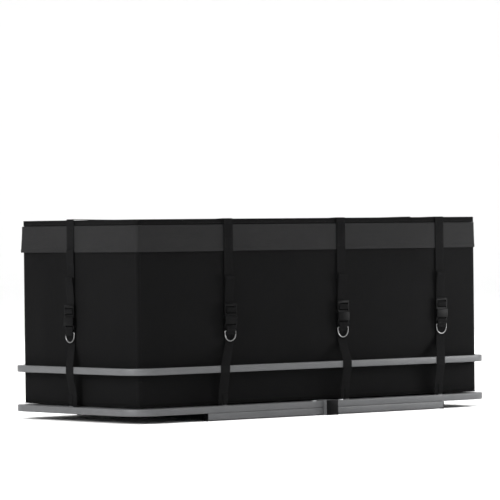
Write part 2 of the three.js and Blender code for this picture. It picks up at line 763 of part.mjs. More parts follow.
// housing with a mouth for the prongs, a window in each side and a bar for the webbing
function femaleBuckle() {
  const bottom = bagBottom + femaleBottom;
  const mouth = bagBottom + maleBottom - fitGap;
  const floor = bottom + femaleBarHeight;
  const front = femaleBack + femaleThickness;
  const cavity = prongOuter + pocketSide;
  const back = malePlate - pocketDepth;
  const face = maleFront + pocketDepth;
  const slotLevel = bagBottom + femaleSlot;
  const housing = faceBlock(-buckleHalf, buckleHalf, femaleBack, front, floor, mouth);
  const tail = faceBlock(-buckleHalf, buckleHalf, malePlate - overshoot, femaleBarFront,
    bottom, floor + overshoot);
  const pocket = faceBlock(-cavity, cavity, back, face, floor + pocketFloor, mouth + overshoot);
  const windows = faceBlock(-buckleHalf - overshoot, buckleHalf + overshoot, back, face,
    floor + pocketFloor, bagBottom + femaleWindowTop);
  const slot = faceBlock(-slotWidth / 2, slotWidth / 2, 0, front + overshoot,
    slotLevel - femaleSlotHeight / 2, slotLevel + femaleSlotHeight / 2);
  return carve([housing, tail], [pocket, windows, slot]);
}

// bent wire, its two ends meeting inside the sewn tab
function dRing() {
  const level = bagBottom + ringBar;
  const right = [
    [ringEndGap, 0], [ringHalfWidth / 2, 0], [ringHalfWidth - ringBend, 0], [ringHalfWidth, -ringBend],
    [ringHalfWidth, -ringSide],
  ];
  for (let i = 1; i <= 4; i += 1) {
    const angle = (i / 4) * (Math.PI / 2);
    right.push([ringHalfWidth * Math.cos(angle), -ringSide - ringHalfWidth * Math.sin(angle)]);
  }
  const left = right.slice(0, -1).reverse().map(([x, z]) => [-x, z]);
  const extrudePath = new THREE.CatmullRomCurve3(
    [...right, ...left].map(([x, z]) => new THREE.Vector3(x, -ringDepth, level + z)));
  const section = new THREE.Shape().absarc(0, 0, ringWire / 2, 0, 2 * Math.PI);
  const options = { steps: 34, extrudePath, curveSegments: 4, bevelEnabled: false };
  return new THREE.ExtrudeGeometry(section, options);
}

function addBuckledStraps() {
  for (const station of stations) {
    const group = faceGroup(station.face, station.along);
    // on the ends the hanging webbing laps the lid's webbing, so that it can turn beside it
    const lapped = [
      [strapOnFlap + layer, pivotLevel + endLap],
      [strapOnFlap + layer, pivotLevel - endStepTop],
      [strapOnFlap, pivotLevel - endStepFoot],
    ];
    const top = station.face === 'rear' ? [[strapOnFlap, pivotLevel - 2 * fitGap]] : lapped;
    addPiece(`${station.name}_hanging_webbing`, hangingWebbing(top), webbing, group);
    addPiece(`${station.name}_male_buckle`, maleBuckle(), blackPlastic, group);
    addPiece(`${station.name}_female_buckle`, femaleBuckle(), blackPlastic, group);
    addPiece(`${station.name}_d_ring`, dRing(), ringSteel, group);
    const start = [
      [tabDepth, bagBottom + tabEnd],
      [tabDepth, bagBottom + femaleSlot],
      [strapOnFlap, bagBottom + femaleSlot],
    ];
    const anchor = anchorWebbing(anchorRoute(start), station);
    addPiece(`${station.name}_anchor_webbing`, anchor, webbing, group);
  }
}

// ---------------------------------------------------------------- the whole carrier
addShank();
addCrossbar('rear');
addCrossbar('front');
addRailBolts();
addHitchPin();
addTrayHalf('left');
addTrayHalf('right');
addSplice('rear');
addSplice('front');
addBagBody();
addLid();
addRainFlap();
addZipper();
addLidWebbing();
addCarSideWebbing();
addBuckledStraps();

// the origin goes to the middle of the whole length of the shank
carrier.position.y = -(shankRear + shankFront) / 2;
carrier.updateMatrixWorld(true);

export default carrier;
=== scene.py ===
# Hitch cargo carrier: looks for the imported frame. Metres, +Z up, buckles on the -Y side.
import json
import math

import bpy
from mathutils import Matrix, Vector, noise


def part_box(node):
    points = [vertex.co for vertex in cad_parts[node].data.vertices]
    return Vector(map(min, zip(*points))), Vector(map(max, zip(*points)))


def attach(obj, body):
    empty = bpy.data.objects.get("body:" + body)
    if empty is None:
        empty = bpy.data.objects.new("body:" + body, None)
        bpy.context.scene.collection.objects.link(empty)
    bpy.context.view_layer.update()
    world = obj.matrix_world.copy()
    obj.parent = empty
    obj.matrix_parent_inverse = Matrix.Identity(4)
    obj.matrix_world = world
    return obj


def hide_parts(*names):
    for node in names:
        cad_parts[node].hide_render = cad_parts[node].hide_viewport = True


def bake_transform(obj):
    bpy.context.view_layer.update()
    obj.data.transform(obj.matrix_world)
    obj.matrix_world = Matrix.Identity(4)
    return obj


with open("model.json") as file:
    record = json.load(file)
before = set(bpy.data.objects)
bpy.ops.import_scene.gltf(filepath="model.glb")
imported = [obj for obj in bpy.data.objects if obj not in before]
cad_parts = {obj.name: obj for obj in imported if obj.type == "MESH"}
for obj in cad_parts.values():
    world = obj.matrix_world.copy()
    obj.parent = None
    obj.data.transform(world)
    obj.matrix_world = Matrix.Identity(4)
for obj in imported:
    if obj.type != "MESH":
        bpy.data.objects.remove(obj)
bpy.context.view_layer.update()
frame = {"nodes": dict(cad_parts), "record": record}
nodes = frame["nodes"]
bodies = frame["record"]["behaviour"]["bodies"]
bodyOf = {node: body for body, members in bodies.items() for node in members}
slotOf = {row["node"]: row["material_slot"] for row in frame["record"]["subparts"]}
print("frame loaded:", len(nodes), "nodes")

# places that the whole model shares
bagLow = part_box("bag_body")[0]
bagHigh = Vector((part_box("bag_body")[1].x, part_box("bag_body")[1].y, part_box("lid_panel")[1].z))
bagMiddle = (bagLow + bagHigh) / 2
halfX = (bagHigh.x - bagLow.x) / 2
halfY = (bagHigh.y - bagLow.y) / 2
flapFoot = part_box("rain_flap")[0].z
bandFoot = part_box("rain_flap")[1].z + 0.0003
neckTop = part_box("bag_body")[1].z
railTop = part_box("left_bottom_rail")[1].z
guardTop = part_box("left_guard_rail")[1].z
railSize = 0.022
mergeWithin = 1e-5
guardBottom = guardTop - railSize
rearNames = ("rear_left", "rear_middle", "rear_right")
endNames = ("left_end", "right_end")


def middleOf(node):
    low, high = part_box(node)
    return (low + high) / 2


# where each buckled strap runs: the face it is on and its place along that face
stations = {}
for name in rearNames:
    stations[name] = ("rear", middleOf(name + "_male_buckle").x)
for name in endNames:
    stations[name] = (name.split("_")[0], middleOf(name + "_male_buckle").y)
carSide = {name.replace("rear", "car_side"): ("carSide", stations[name][1]) for name in rearNames}
endPlace = stations["left_end"][1]


# the camera
cameraSetup = {
    "aim": (0.0, -0.136),  # the middle of the tray
    "azimuth": 40.49,
    "distance": 12.425,
    "height": 0.615,
    "turn": 40.44,
    "pitch": -0.29,
    "roll": -0.63,
    "lens": 262.7,
    "sensor": 36,
    "clipEnd": 200,
}


def makeCamera():
    azimuth = math.radians(cameraSetup["azimuth"])
    data = bpy.data.cameras.new("camera")
    data.lens = cameraSetup["lens"]
    data.sensor_width = cameraSetup["sensor"]
    data.clip_end = cameraSetup["clipEnd"]
    camera = bpy.data.objects.new("camera", data)
    bpy.context.scene.collection.objects.link(camera)
    x = cameraSetup["aim"][0] - math.sin(azimuth) * cameraSetup["distance"]
    y = cameraSetup["aim"][1] - math.cos(azimuth) * cameraSetup["distance"]
    turn = Matrix.Rotation(math.radians(-cameraSetup["turn"]), 4, "Z")
    tilt = Matrix.Rotation(math.radians(90 + cameraSetup["pitch"]), 4, "X")
    roll = Matrix.Rotation(math.radians(cameraSetup["roll"]), 4, "Z")
    camera.matrix_world = Matrix.Translation((x, y, cameraSetup["height"])) @ turn @ tilt @ roll
    bpy.context.scene.camera = camera


makeCamera()


# the studio: a white bowl, a bright sky and soft lights
studio = {
    "floorRadius": 24.0,
    "floorSides": 96,
    "curveRadius": 5.0,
    "curveSteps": 10,
    "wallHeight": 9.0,
    "floorColour": (0.9, 0.9, 0.9),
    "floorRough": 0.9,
    "sky": 1.16,
    # name: place, size, power
    "lights": {
        "keyLeft": ((-6.5, -1.0, 3.2), 3.5, 640),
        "fillRear": ((0.5, -8.0, 4.5), 5.0, 150),
        "top": ((0.0, 0.0, 6.5), 5.0, 160),
        "rim": ((5.0, 6.0, 4.0), 4.0, 160),
        "nearRight": ((1.25, -0.95, 0.45), 0.4, 9),
    },
}


def onlySelect(obj):
    bpy.ops.object.select_all(action="DESELECT")
    obj.select_set(True)
    bpy.context.view_layer.objects.active = obj


def makeStudio():
    bpy.ops.object.select_all(action="DESELECT")
    radius = studio["floorRadius"]
    bpy.ops.mesh.primitive_circle_add(vertices=studio["floorSides"], radius=radius, fill_type="NGON")
    floor = bpy.context.object
    floor.name = "studioFloor"
    bpy.ops.object.mode_set(mode="EDIT")
    bpy.ops.mesh.select_all(action="SELECT")
    bpy.ops.mesh.region_to_loop()
    steps = studio["curveSteps"]
    for step in range(steps):
        before = math.pi / 2 * step / steps
        after = math.pi / 2 * (step + 1) / steps
        rise = studio["curveRadius"] * (math.cos(before) - math.cos(after))
        grown = radius + studio["curveRadius"] * (math.sin(after) - math.sin(before))
        bpy.ops.mesh.extrude_edges_move(TRANSFORM_OT_translate={"value": (0, 0, rise)})
        bpy.ops.transform.resize(value=(grown / radius, grown / radius, 1))
        radius = grown
    bpy.ops.mesh.extrude_edges_move(TRANSFORM_OT_translate={"value": (0, 0, studio["wallHeight"])})
    bpy.ops.object.mode_set(mode="OBJECT")
    bpy.ops.object.shade_smooth()
    material = bpy.data.materials.new("studioFloor")
    material.use_nodes = True
    shader = material.node_tree.nodes["Principled BSDF"]
    shader.inputs["Base Color"].default_value = (*studio["floorColour"], 1)
    shader.inputs["Roughness"].default_value = studio["floorRough"]
    floor.data.materials.append(material)
    world = bpy.data.worlds.new("studioSky")
    world.use_nodes = True
    world.node_tree.nodes["Background"].inputs["Color"].default_value = (1, 1, 1, 1)
    world.node_tree.nodes["Background"].inputs["Strength"].default_value = studio["sky"]
    bpy.context.scene.world = world
    for name, (place, size, power) in studio["lights"].items():
        data = bpy.data.lights.new(name, "AREA")
        data.shape = "DISK"
        data.size = size
        data.energy = power
        light = bpy.data.objects.new(name, data)
        bpy.context.scene.collection.objects.link(light)
        light.location = place
        light.rotation_euler = (bagMiddle - Vector(place)).to_track_quat("-Z", "Y").to_euler()
    bpy.context.scene.view_settings.view_transform = "Standard"


makeStudio()
print("camera and studio done")


# materials
class Nodes:
    # a short way to add nodes to one material
    def __init__(self, name):
        self.material = bpy.data.materials.new(name)
        self.material.use_nodes = True
        self.tree = self.material.node_tree
        self.shader = self.tree.nodes["Principled BSDF"]
        self.coords = self.tree.nodes.new("ShaderNodeTexCoord")

    def add(self, kind, inputs=None, **settings):
        node = self.tree.nodes.new("ShaderNode" + kind)
        for key, value in settings.items():
            setattr(node, key, value)
        for key, value in (inputs or {}).items():
            if hasattr(value, "is_output"):
                self.tree.links.new(value, node.inputs[key])
            else:
                node.inputs[key].default_value = value
        return node

    def math(self, operation, first, second=0.0):
        return self.add("Math", {0: first, 1: second}, operation=operation).outputs[0]

    def noise(self, scale, detail=3.0, roughness=0.55):
        place = self.coords.outputs["Object"]
        inputs = {"Vector": place, "Scale": scale, "Detail": detail, "Roughness": roughness}
        return self.add("TexNoise", inputs).outputs["Fac"]

    def spread(self, value, low, high):
        return self.add("MapRange", {"Value": value, "To Min": low, "To Max": high}).outputs["Result"]

    def tint(self, value, dark, light):
        mix = self.add("Mix", {0: value, 6: (*dark, 1), 7: (*light, 1)}, data_type="RGBA")
        self.tree.links.new(mix.outputs[2], self.shader.inputs["Base Color"])

    def rough(self, value):
        self.tree.links.new(value, self.shader.inputs["Roughness"])

    def bump(self, height, distance, strength=0.5):
        inputs = {"Height": height, "Distance": distance, "Strength": strength}
        node = self.add("Bump", inputs)
        self.tree.links.new(node.outputs["Normal"], self.shader.inputs["Normal"])


# dark and light are the ends of the mottle, rough those of the roughness, grain the bump's scale
finishes = {
    "painted_steel": {"dark": (0.055, 0.0562, 0.0581), "light": (0.073, 0.0742, 0.0765),
                      "rough": (0.42, 0.54), "specular": 0.3,
                      "metallic": 0.15, "grain": 420.0, "grainDepth": 0.0002},
    "black_plastic": {"dark": (0.0012, 0.0012, 0.0013), "light": (0.0024, 0.0024, 0.0025),
                      "rough": (0.4, 0.52), "specular": 0.04,
                      "metallic": 0.0, "grain": 900.0, "grainDepth": 0.00012},
    "bag_fabric": {"dark": (0.002, 0.002, 0.0021), "light": (0.0042, 0.0042, 0.0043),
                   "rough": (0.62, 0.74), "specular": 0.025},
    "flap_fabric": {"dark": (0.0065, 0.0065, 0.0067), "light": (0.0108, 0.0108, 0.011),
                    "rough": (0.56, 0.68), "specular": 0.07},
    "webbing": {"dark": (0.0022, 0.0022, 0.0023), "light": (0.0048, 0.0048, 0.005),
                "rough": (0.66, 0.8), "specular": 0.03},
    "zipper": {"dark": (0.004, 0.004, 0.004), "light": (0.008, 0.008, 0.008),
               "rough": (0.5, 0.65), "specular": 0.15,
               "metallic": 0.0, "grain": 700.0, "grainDepth": 0.0001},
    "zinc": {"dark": (0.42, 0.43, 0.44), "light": (0.56, 0.57, 0.58),
             "rough": (0.24, 0.4), "specular": 0.5,
             "metallic": 1.0, "grain": 300.0, "grainDepth": 0.00008},
    "ring_steel": {"dark": (0.13, 0.13, 0.13), "light": (0.24, 0.24, 0.24),
                   "rough": (0.24, 0.38), "specular": 0.5,
                   "metallic": 1.0, "grain": 260.0, "grainDepth": 0.00006},
}
weave = {
    "pitch": 0.0011,
    "threadHeight": 0.18,
    "creaseScale": 7.0,
    "creaseHeight": 1.5,
    "depth": 0.00096,
    "mottle": 3.0,
    "grain": 60.0,
}
webbingWeave = {
    "pitch": 0.0011,
    "ribPitch": 0.0016,
    "slant": 0.5,
    "threadHeight": 0.6,
    "depth": 0.00025,
    "mottle": 9.0,
    "grain": 90.0,
}
smoothSkin = {"mottle": 14.0, "grain": 110.0}


def makeFabric(slot):
    look = finishes[slot]
    made = Nodes(slot)
    split = made.add("SeparateXYZ", {0: made.coords.outputs["Object"]})
    turns = 2 * math.pi / weave["pitch"]
    waves = [made.math("SINE", made.math("MULTIPLY", split.outputs[i], turns)) for i in range(3)]
    threads = made.math("ADD", made.math("ADD", waves[0], waves[1]), waves[2])
    crease = made.noise(weave["creaseScale"], 4.0, 0.5)
    threadHeight = made.math("MULTIPLY", threads, weave["threadHeight"])
    creaseHeight = made.math("MULTIPLY", crease, weave["creaseHeight"])
    made.bump(made.math("ADD", threadHeight, creaseHeight), weave["depth"])
    made.tint(made.noise(weave["mottle"], 5.0), look["dark"], look["light"])
    made.rough(made.spread(made.noise(weave["grain"]), *look["rough"]))
    made.shader.inputs["Specular IOR Level"].default_value = look["specular"]
    return made.material


def makeWebbing(slot):
    look = finishes[slot]
    made = Nodes(slot)
    split = made.add("SeparateXYZ", {0: made.coords.outputs["UV"]})
    ribTurns = 2 * math.pi / webbingWeave["ribPitch"]
    ribs = made.math("SINE", made.math("MULTIPLY", split.outputs[1], ribTurns))
    slant = made.math("MULTIPLY", split.outputs[1], webbingWeave["slant"])
    lean = made.math("ADD", split.outputs[0], slant)
    threads = made.math("SINE", made.math("MULTIPLY", lean, 2 * math.pi / webbingWeave["pitch"]))
    height = made.math("ADD", ribs, made.math("MULTIPLY", threads, webbingWeave["threadHeight"]))
    made.bump(height, webbingWeave["depth"], 0.6)
    made.tint(made.noise(webbingWeave["mottle"], 4.0), look["dark"], look["light"])
    made.rough(made.spread(made.noise(webbingWeave["grain"]), *look["rough"]))
    made.shader.inputs["Specular IOR Level"].default_value = look["specular"]
    return made.material


def makeSmooth(slot):
    look = finishes[slot]
    made = Nodes(slot)
    made.tint(made.noise(smoothSkin["mottle"], 5.0), look["dark"], look["light"])
    made.rough(made.spread(made.noise(smoothSkin["grain"], 2.0), *look["rough"]))
    made.bump(made.noise(look["grain"], 2.0), look["grainDepth"])
    made.shader.inputs["Metallic"].default_value = look["metallic"]
    made.shader.inputs["Specular IOR Level"].default_value = look["specular"]
    return made.material


makers = {"bag_fabric": makeFabric, "flap_fabric": makeFabric, "webbing": makeWebbing}
materials = {slot: makers.get(slot, makeSmooth)(slot) for slot in finishes}
print("materials done:", len(materials))


# tools that several pieces use
def addModifier(obj, kind, **settings):
    onlySelect(obj)
    modifier = obj.modifiers.new(kind.lower(), kind)
    for key, value in settings.items():
        setattr(modifier, key, value)
    bpy.ops.object.modifier_apply(modifier=modifier.name)


def smoothByAngle(obj, degrees):
    onlySelect(obj)
    bpy.ops.object.shade_smooth_by_angle(angle=math.radians(degrees))


def finishPiece(obj, name, slot, body=None, replaced=()):
    obj.name = name
    obj.data.name = name
    obj.data.materials.clear()
    obj.data.materials.append(materials[slot])
    if body:
        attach(obj, body)
    if replaced:
        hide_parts(*replaced)
    return obj


def editAll(obj, *operations):
    onlySelect(obj)
    bpy.ops.object.mode_set(mode="EDIT")
    bpy.ops.mesh.select_all(action="SELECT")
    for operation, settings in operations:
        operation(**settings)
    bpy.ops.object.mode_set(mode="OBJECT")


weld = (bpy.ops.mesh.remove_doubles, {"threshold": mergeWithin})
# closes the line where a band's innermost row meets itself
weldMiddle = (bpy.ops.mesh.remove_doubles, {"threshold": 0.0004})
faceOut = (bpy.ops.mesh.normals_make_consistent, {"inside": False})
clothEdge = 0.0004


# rounds the cut edges of cloth and webbing
def roundCloth(obj):
    addModifier(obj, "BEVEL", width=clothEdge, segments=2, limit_method="ANGLE",
                angle_limit=math.radians(60))


# a copy of a CAD node with its edges rounded as moulded or formed ones are
def roundedCopy(node, width, segments=2, angle=30):
    source = nodes[node]
    obj = bpy.data.objects.new(node + "_fine", source.data.copy())
    bpy.context.scene.collection.objects.link(obj)
    editAll(obj, weld, (bpy.ops.mesh.dissolve_limited, {"angle_limit": math.radians(1)}))
    addModifier(obj, "BEVEL", width=width, segments=segments, limit_method="ANGLE",
                angle_limit=math.radians(angle), use_clamp_overlap=True, harden_normals=False)
    smoothByAngle(obj, 40)
    return finishPiece(obj, node + "_fine", slotOf[node], bodyOf[node], [node])


# rows of points laid on a grid, with UVs in metres along the rows and columns
def wrapGrid(name, rows, closed=False):
    columns = len(rows[0])
    bpy.ops.object.select_all(action="DESELECT")
    bpy.ops.mesh.primitive_grid_add(x_subdivisions=columns - 1, y_subdivisions=len(rows) - 1, size=1)
    obj = bpy.context.object
    obj.name = name
    flat = [component for row in rows for point in row for component in point]
    obj.data.vertices.foreach_set("co", flat)
    middleRow = rows[len(rows) // 2]
    across = [0.0]
    for here, after in zip(middleRow, middleRow[1:]):
        across.append(across[-1] + (after - here).length)
    middleColumn = [row[columns // 2] for row in rows]
    along = [0.0]
    for here, after in zip(middleColumn, middleColumn[1:]):
        along.append(along[-1] + (after - here).length)
    uvs = obj.data.uv_layers.active.data
    for loop in obj.data.loops:
        row, column = divmod(loop.vertex_index, columns)
        uvs[loop.index].uv = (across[column], along[row])
    obj.data.update()
    if closed:
        editAll(obj, weld)
    return obj


# copies of a small piece in a row, from first to last, with its own X along the row and Z outwards
def rowOf(piece, first, last, out, pitch):
    run = last - first
    count = max(2, int(run.length / pitch) + 1)
    addModifier(piece, "ARRAY", count=count, use_relative_offset=False, use_constant_offset=True,
                constant_offset_displace=(run.length / (count - 1), 0, 0))
    along = run.normalized()
    basis = Matrix((along, out.cross(along), out)).transposed().to_4x4()
    piece.matrix_world = Matrix.Translation(first) @ basis
    onlySelect(piece)
    bpy.ops.object.transform_apply(location=True, rotation=True, scale=True)
    return piece


def joinPieces(target, others):
    bpy.ops.object.select_all(action="DESELECT")
    for other in others:
        other.select_set(True)
    target.select_set(True)
    bpy.context.view_layer.objects.active = target
    bpy.ops.object.join()
    return target


outward = {"rear": Vector((0, -1, 0)), "carSide": Vector((0, 1, 0)),
           "left": Vector((-1, 0, 0)), "right": Vector((1, 0, 0))}


# a point on a face of the bag: along the face, out from it, and its level
def onFace(face, along, depth, level):
    if face in ("rear", "carSide"):
        edge = bagLow.y if face == "rear" else bagHigh.y
        return Vector((along, edge, level)) + outward[face] * depth
    edge = bagLow.x if face == "left" else bagHigh.x
    return Vector((edge, along, level)) + outward[face] * depth


def acrossOf(face):
    return outward[face].cross(Vector((0, 0, 1))) * -1


# points along each run of the plan
ringCounts = {"long": 88, "short": 36, "corner": 5}


# points round the bag's plan, from the car side's left corner round the left end, the rear and the
# right end; depth is how far the line stands out from the bag's face
def planLine(depth, openBack=False):
    outX = halfX + depth
    outY = halfY + depth
    bend = max(bag["cornerRadius"] + depth, bag["leastRadius"])
    bend = min(bend, outX, outY)
    line = []
    turns = {"left": (-1, 0), "rear": (0, -1), "right": (1, 0), "carSide": (0, 1)}
    start = outY if openBack else outY - bend
    runs = [
        ("left", (-outX, start), (-outX, -outY + bend), ringCounts["short"]),
        ("rear", (-outX + bend, -outY), (outX - bend, -outY), ringCounts["long"]),
        ("right", (outX, -outY + bend), (outX, start), ringCounts["short"]),
        ("carSide", (outX - bend, outY), (-outX + bend, outY), ringCounts["long"]),
    ]
    corners = [(-1, -1, 180), (1, -1, 270), (1, 1, 0), (-1, 1, 90)]
    count = 3 if openBack else 4
    for index in range(count):
        side, first, last, steps = runs[index]
        for step in range(steps):
            t = step / steps
            place = (first[0] + (last[0] - first[0]) * t, first[1] + (last[1] - first[1]) * t)
            line.append((place, turns[side], side))
        if openBack and index == 2:
            line.append((last, turns[side], side))
            break
        signX, signY, angle = corners[index]
        for step in range(ringCounts["corner"]):
            turn = math.radians(angle + 90 * step / ringCounts["corner"])
            normal = (math.cos(turn), math.sin(turn))
            place = (signX * (outX - bend) + normal[0] * bend, signY * (outY - bend) + normal[1] * bend)
            line.append((place, normal, "corner"))
    if not openBack:
        line.append(line[0])
    return line


def step01(value, low, high):
    t = min(max((value - low) / (high - low), 0.0), 1.0)
    return t * t * (3 - 2 * t)


# how far a place on a face is from the strap that crosses it, and from the face's ends
def strapDistance(side, x, y):
    if side in ("rear", "carSide"):
        return min(abs(x - stations[name][1]) for name in rearNames)
    return abs(y + bagMiddle.y - endPlace)


def endDistance(side, x, y):
    return halfX - abs(x) if side in ("rear", "carSide") else halfY - abs(y)


# a band round the bag: profile is (depth, level) pairs, moved out by swell(side, x, y, level)
def bandPiece(name, profile, openBack=False, swell=None):
    rows = []
    for depth, level in profile:
        row = []
        for (x, y), normal, side in planLine(depth, openBack):
            out = swell(side, x, y, level) if swell else 0.0
            place = (bagMiddle.x + x + normal[0] * out, bagMiddle.y + y + normal[1] * out, level)
            row.append(Vector(place))
        rows.append(row)
    return wrapGrid(name, rows, closed=not openBack)


def spaced(first, last, step):
    count = max(1, round(abs(last - first) / step))
    return [first + (last - first) * i / count for i in range(count + 1)]


# the bag
bag = {
    "cornerRadius": 0.008,
    "leastRadius": 0.0005,
    "middle": 0.0001,  # how near the innermost row comes to the middle line
    "neckInset": 0.009,
    "shoulder": bandFoot - 0.024,
    "fabric": 0.003,
    "swell": 0.0045,  # how far the walls belly out between the straps
    "dent": 0.0006,
    "ripple": 0.0012,
    "waver": (3.1, 4.3),  # scale of the slow unevenness, along a wall and up it
    "fine": (11.0, 6.0),
    "calmStrap": (0.03, 0.16),  # the belly starts and is full this far from a strap
    "calmEnd": 0.14,
    "wallStep": 0.021,
    "floorRows": (-0.22, -0.12, -0.06, -0.03, -0.014),
    # depth and height above the underside, and below the shoulder
    "floorCurl": ((-0.006, 0.0006), (-0.002, 0.002), (-0.0004, 0.006)),
    "shoulderCurl": ((-0.0008, -0.003), (-0.003, -0.0006)),
}
lid = {
    "sag": 0.006,
    "crown": 2.4,  # how flat the sag stays towards the edges
    "fabric": 0.0018,
    "ripple": 0.0012,
    "rippleScale": 7.0,
    "rippleFrom": -0.03,
    "rows": (-0.25, -0.2, -0.15, -0.1, -0.06, -0.03, -0.012),
    "edge": ((-0.005, -0.0003), (-0.002, -0.001), (-0.0006, -0.0025), (0.0, -0.005)),
    "neckFabric": 0.002,
    "neckOverlap": 0.004,
}
clothHinge = {
    "reach": 0.026,
    "depth": 0.0002,
    "thickness": 0.0009,
    "columnStep": 0.03,
    "rowStep": 0.002,
    "bend": 0.006,  # above and below the hinge line
}
# name: depth and level of the cord's middle, its radius and its body
pipings = {
    "lid_top_piping": (-0.0014, bagHigh.z - 0.0014, 0.0018, "lid"),
    "lid_seam_piping": (-0.0006, bandFoot + 0.0022, 0.0012, "lid"),
    "bag_floor_piping": (-0.001, bagLow.z + 0.003, 0.0022, "carrier"),
}
hingeLevel = neckTop


def wallSwell(side, x, y, level):
    if level > flapFoot or side == "corner":
        return 0.0
    rise = math.sin(math.pi * step01(level, bagLow.z + 0.005, flapFoot + 0.02)) ** 0.8
    strap = step01(strapDistance(side, x, y), *bag["calmStrap"])
    end = step01(endDistance(side, x, y), 0.0, bag["calmEnd"])
    along, up = bag["waver"]
    waver = noise.noise(Vector((x * along, y * along, level * up)))
    along, up = bag["fine"]
    fine = noise.noise(Vector((x * along, y * along, level * up)))
    belly = bag["swell"] * strap * (0.85 + 0.5 * waver)
    return rise * end * (belly + bag["ripple"] * strap * fine) - bag["dent"] * rise * (1 - strap) * end


def makeBagBody():
    under = bagLow.z
    shoulder = bag["shoulder"]
    neck = -bag["neckInset"]
    profile = [(depth, under) for depth in (-halfY + bag["middle"], *bag["floorRows"])]
    profile += [(depth, under + rise) for depth, rise in bag["floorCurl"]]
    profile += [(0.0, level) for level in spaced(under + 0.014, shoulder - 0.008, bag["wallStep"])]
    profile += [(depth, shoulder + rise) for depth, rise in bag["shoulderCurl"]]
    profile += [(neck + 0.002, shoulder), (neck, shoulder + 0.002), (neck, neckTop)]
    body = bandPiece("bagBody", profile, swell=wallSwell)
    editAll(body, weldMiddle, faceOut)
    addModifier(body, "SOLIDIFY", thickness=bag["fabric"], offset=-1)
    smoothByAngle(body, 50)
    finishPiece(body, "bag_body_fabric", "bag_fabric", bodyOf["bag_body"], ["bag_body"])


def lidLevel(x, y):
    across = 1 - min(abs(x - bagMiddle.x) / halfX, 1) ** lid["crown"]
    deep = 1 - min(abs(y - bagMiddle.y) / halfY, 1) ** lid["crown"]
    return bagHigh.z - lid["sag"] * across * deep


def makeLid():
    rows = []
    neck = -bag["neckInset"]
    drop = bandFoot - bagHigh.z
    top = [(depth, 0.0) for depth in (-halfY + bag["middle"], *lid["rows"])]
    foot = [(0.0, drop * 0.6), (0.0, drop + 0.002), (-0.0006, drop), (neck, drop + 0.0004)]
    for depth, below in [*top, *lid["edge"], *foot]:
        row = []
        sagging = depth < -0.001 and below > -0.002
        for (x, y), *_ in planLine(depth):
            place = Vector((bagMiddle.x + x, bagMiddle.y + y, 0))
            place.z = (lidLevel(place.x, place.y) if sagging else bagHigh.z) + below
            if depth < lid["rippleFrom"] and below == 0.0:
                place.z += lid["ripple"] * noise.noise(place * lid["rippleScale"])
            row.append(place)
        rows.append(row)
    panel = wrapGrid("lid", rows, closed=True)
    editAll(panel, weldMiddle, faceOut)
    addModifier(panel, "SOLIDIFY", thickness=lid["fabric"], offset=-1)
    smoothByAngle(panel, 50)
    finishPiece(panel, "lid_fabric", "bag_fabric", "lid", ["lid_panel"])
    levels = (bandFoot + lid["neckOverlap"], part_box("lid_panel")[0].z)
    collar = bandPiece("lidNeck", [(neck, level) for level in levels])
    editAll(collar, faceOut)
    addModifier(collar, "SOLIDIFY", thickness=lid["neckFabric"], offset=-1)
    finishPiece(collar, "lid_neck_fabric", "bag_fabric", "lid")


# a round cord sewn into the bag's edges
def makePiping(name, depth, level, radius, body):
    sides = 8
    profile = []
    for index in range(sides + 1):
        turn = 2 * math.pi * index / sides
        profile.append((depth + radius * math.cos(turn), level + radius * math.sin(turn)))
    cord = bandPiece(name, profile)
    editAll(cord, weld, faceOut)
    smoothByAngle(cord, 60)
    finishPiece(cord, name, "bag_fabric", body)


stitch = {
    "length": 0.0036,
    "pitch": 0.0052,
    "width": 0.0007,
    "height": 0.0006,
    "fromCorner": 0.012,
    "boxHalf": 0.014,
    "flapSkin": 0.0023,  # depth of the flap's face at its hem
    "bandRow": 0.006,  # above the lid band's foot
    "hemRow": 0.004,  # in from each edge of the hem
    "wallRow": (0.01, -0.008),  # from the bag's underside and from its shoulder
    "wallSkin": 0.0001,
    # low and high edges of the boxes, from the pivot, the band's foot, the tab's end and the hinge
    "pivotBox": (0.016, 0.044),
    "endBox": (-0.034, -0.006),
    "tabBox": (0.004, 0.016),
    "hingeBox": (-0.06, -0.032),
}
bagFaces = {
    "rear": (bagLow.x, bagHigh.x),
    "left": (bagLow.y, bagHigh.y),
    "right": (bagLow.y, bagHigh.y),
    "carSide": (bagLow.x, bagHigh.x),
}


# a row of stitches on a face of the bag, between two places along it or two levels
def stitchRow(face, first, last, depth=0.0):
    bpy.ops.object.select_all(action="DESELECT")
    bpy.ops.mesh.primitive_ico_sphere_add(subdivisions=1, radius=0.5)
    lozenge = bpy.context.object
    lozenge.scale = (stitch["length"], stitch["width"], stitch["height"])
    bpy.ops.object.transform_apply(location=True, rotation=True, scale=True)
    bpy.ops.mesh.uv_texture_remove()
    start = onFace(face, first[0], depth, first[1])
    end = onFace(face, last[0], depth, last[1])
    return rowOf(lozenge, start, end, outward[face], stitch["pitch"])


# rows round a box with a cross in it, or round the box alone
def stitchBox(face, along, half, low, high, depth, crossed=True):
    left = along - half
    right = along + half
    ends = [((left, low), (right, low)), ((right, low), (right, high)), ((right, high), (left, high)),
            ((left, high), (left, low))]
    if crossed:
        ends += [((left, low), (right, high)), ((right, low), (left, high))]
    return [stitchRow(face, first, last, depth) for first, last in ends]


def joinStitches(name, rows, body):
    joined = joinPieces(rows[0], rows[1:])
    return finishPiece(joined, name, "zipper", body)


flap = {
    "thickness": 0.0014,
    "flare": 0.0048,
    "hem": 0.013,
    "wave": 0.0006,
    "waveScale": (6.0, 3.0),
    "cornerShare": 0.35,  # of the flare, at the bag's rear corners
    "calmStrap": (0.022, 0.12),
    "calmCorner": (0.004, 0.09),
    "flareCurve": 1.3,
    "depth": 0.0011,
    "hemDepth": 0.0016,
    "step": 0.009,
    "hemStep": 0.004,
}


